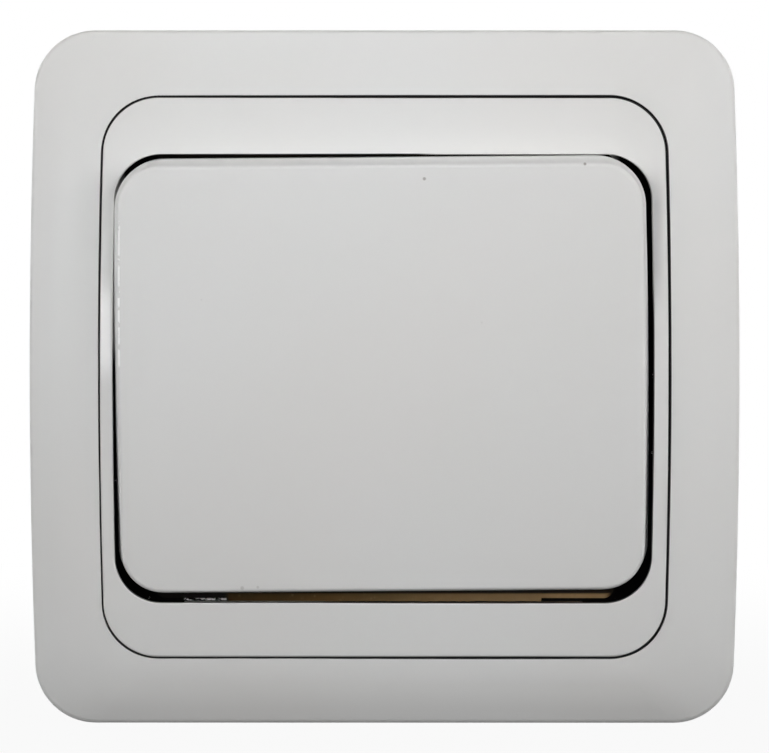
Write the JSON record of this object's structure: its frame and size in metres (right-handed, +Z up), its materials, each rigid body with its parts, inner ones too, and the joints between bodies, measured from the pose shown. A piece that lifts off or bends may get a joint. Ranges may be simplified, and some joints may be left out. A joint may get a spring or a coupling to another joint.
{
  "type": "wall light switch",
  "caption": "Flush wall light switch with a domed square frame, flat centre cover and one wide rocker, on a steel support plate with a brown moulded base and spreading claws.",
  "frame": {"origin": "centre of the switch on the wall's surface, between the two fixing slots", "axes": "+X to the right seen from the room, +Y into the wall, +Z up"},
  "size_m": [0.082, 0.0305, 0.08],
  "materials": {
    "white_gloss": "glossy moulded white plastic",
    "white_satin": "satin moulded white plastic",
    "natural_plastic": "unpainted moulded plastic",
    "brown_plastic": "brown moulded thermosetting plastic",
    "galvanised": "bright zinc plated pressed steel",
    "screw_steel": "zinc plated steel screws",
    "spring_steel": "drawn spring wire",
    "brass": "rolled brass strip",
    "silver": "silver contact rivet"
  },
  "bodies": {
    "housing": {"outer_frame": "white_gloss", "insert_plate": "white_gloss", "base_housing": "brown_plastic", "back_cover": "brown_plastic", "support_plate": "galvanised", "plate_rivets": "galvanised", "fixed_contact": "silver", "line_terminal_strip": "brass", "load_terminal_strip": "brass"},
    "rocker": {"rocker": "white_satin", "dolly": "natural_plastic", "plunger_spring": "spring_steel"},
    "plunger": {"plunger": "natural_plastic"},
    "contact_arm": {"contact_arm": "brass", "moving_contact": "silver"},
    "left_claw_screw": {"left_claw_screw": "screw_steel"},
    "left_claw": {"left_claw": "galvanised"},
    "left_claw_nut": {"left_claw_nut": "screw_steel"},
    "right_claw_screw": {"right_claw_screw": "screw_steel"},
    "right_claw": {"right_claw": "galvanised"},
    "right_claw_nut": {"right_claw_nut": "screw_steel"},
    "line_clamp_cage": {"line_clamp_cage": "galvanised"},
    "line_terminal_screw": {"line_terminal_screw": "screw_steel"},
    "load_clamp_cage": {"load_clamp_cage": "galvanised"},
    "load_terminal_screw": {"load_terminal_screw": "screw_steel"}
  },
  "joints": [
    {"name": "rocker_tilt", "type": "hinge", "parent": "housing", "child": "rocker", "pos_m": [0, -0.0067, 0], "axis": [1, 0, 0], "range_deg": [-10, 0]},
    {"name": "plunger_slide", "type": "slide", "parent": "rocker", "child": "plunger", "axis": [0, -0.9962, -0.0872], "range_m": [0, 0.0012], "stiffness_N_per_m": 300, "springref_m": -0.002, "deforming": ["plunger_spring"]},
    {"name": "contact_rock", "type": "hinge", "parent": "housing", "child": "contact_arm", "pos_m": [0, 0.00873, 0], "axis": [1, 0, 0], "range_deg": [0, 16]},
    {"name": "left_claw_spread", "type": "slide", "parent": "housing", "child": "left_claw", "axis": [-0.8, -0.6, 0], "range_m": [0, 0.0045]},
    {"name": "left_claw_screw_turn", "type": "hinge", "parent": "housing", "child": "left_claw_screw", "pos_m": [-0.0226, 0, 0.0095], "axis": [0, 1, 0], "range_deg": [0, 1388.57]},
    {"name": "left_claw_nut_draw", "type": "slide", "parent": "housing", "child": "left_claw_nut", "axis": [0, -1, 0], "range_m": [0, 0.0027]},
    {"name": "right_claw_spread", "type": "slide", "parent": "housing", "child": "right_claw", "axis": [0.8, -0.6, 0], "range_m": [0, 0.0045]},
    {"name": "right_claw_screw_turn", "type": "hinge", "parent": "housing", "child": "right_claw_screw", "pos_m": [0.0226, 0, -0.0095], "axis": [0, 1, 0], "range_deg": [0, 1388.57]},
    {"name": "right_claw_nut_draw", "type": "slide", "parent": "housing", "child": "right_claw_nut", "axis": [0, -1, 0], "range_m": [0, 0.0027]},
    {"name": "line_cage_rise", "type": "slide", "parent": "housing", "child": "line_clamp_cage", "axis": [0, 0, 1], "range_m": [0, 0.0024]},
    {"name": "line_terminal_screw_turn", "type": "hinge", "parent": "housing", "child": "line_terminal_screw", "pos_m": [-0.013, 0.0115, 0], "axis": [0, 0, 1], "range_deg": [0, 1234.29]},
    {"name": "load_cage_rise", "type": "slide", "parent": "housing", "child": "load_clamp_cage", "axis": [0, 0, 1], "range_m": [0, 0.0024]},
    {"name": "load_terminal_screw_turn", "type": "hinge", "parent": "housing", "child": "load_terminal_screw", "pos_m": [0.013, 0.0115, 0], "axis": [0, 0, 1], "range_deg": [0, 1234.29]}
  ],
  "couplings": [
    {"joint": "contact_rock", "follows": "rocker_tilt", "ratio": -1.6},
    {"joint": "left_claw_screw_turn", "follows": "left_claw_spread", "rad_per_m": 5385.5},
    {"joint": "left_claw_nut_draw", "follows": "left_claw_spread", "ratio": 0.59999},
    {"joint": "right_claw_screw_turn", "follows": "right_claw_spread", "rad_per_m": 5385.5},
    {"joint": "right_claw_nut_draw", "follows": "right_claw_spread", "ratio": 0.59999},
    {"joint": "line_terminal_screw_turn", "follows": "line_cage_rise", "rad_per_m": 8975.9},
    {"joint": "load_terminal_screw_turn", "follows": "load_cage_rise", "rad_per_m": 8975.9}
  ]
}
